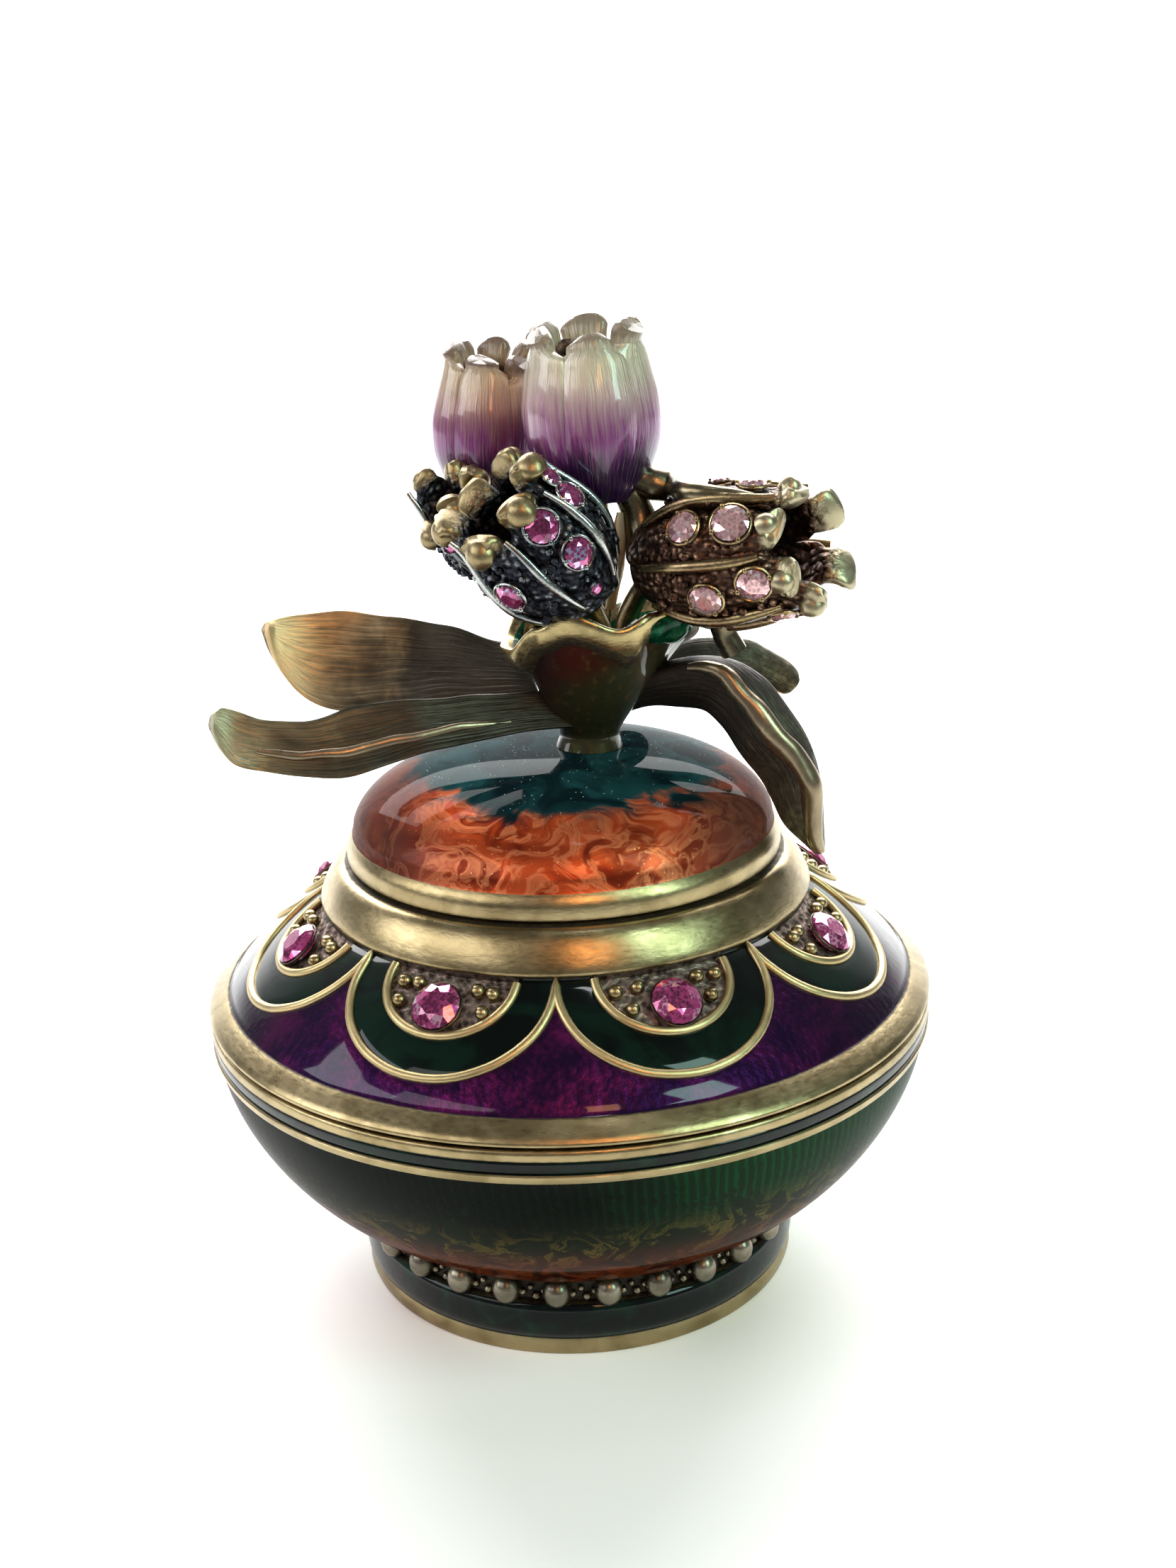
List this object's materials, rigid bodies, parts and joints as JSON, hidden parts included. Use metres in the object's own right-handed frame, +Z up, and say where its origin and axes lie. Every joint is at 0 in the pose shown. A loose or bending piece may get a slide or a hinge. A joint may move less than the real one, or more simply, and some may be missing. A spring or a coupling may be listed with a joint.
{
  "type": "enamel trinket box",
  "caption": "Round footed trinket box with a lift-off domed lid, scalloped enamel, set stones and a cast tulip bouquet.",
  "frame": {"origin": "centre of the foot's underside", "axes": "+Z up along the box's axis, -Y towards the viewer of the picture, +X to the picture's right"},
  "size_m": [0.066, 0.066, 0.087],
  "materials": {
    "bowl_enamel": "gloss green enamel on brass",
    "lid_enamel": "gloss purple and dark green enamel between brass wires",
    "dome_enamel": "gloss swirled orange enamel, dark green at the top",
    "pink_stone": "faceted, foil backed",
    "patinated_brass": "satin brass with dark green patina",
    "pearl_enamel": "pearly cream to purple enamel",
    "dark_brass": "darkened brass set with small stones"
  },
  "bodies": {
    "root": {"bowl": "bowl_enamel", "lid": "lid_enamel", "dome": "dome_enamel", "lid_stone_1": "pink_stone", "lid_stone_2": "pink_stone", "lid_stone_3": "pink_stone", "lid_stone_4": "pink_stone", "lid_stone_5": "pink_stone", "lid_stone_6": "pink_stone", "lid_stone_7": "pink_stone", "lid_stone_8": "pink_stone", "calyx_and_leaves": "patinated_brass", "tall_tulip": "pearl_enamel", "second_tulip": "pearl_enamel", "left_jewelled_tulip": "dark_brass", "right_jewelled_tulip": "dark_brass", "back_jewelled_tulip": "dark_brass"}
  },
  "joints": []
}
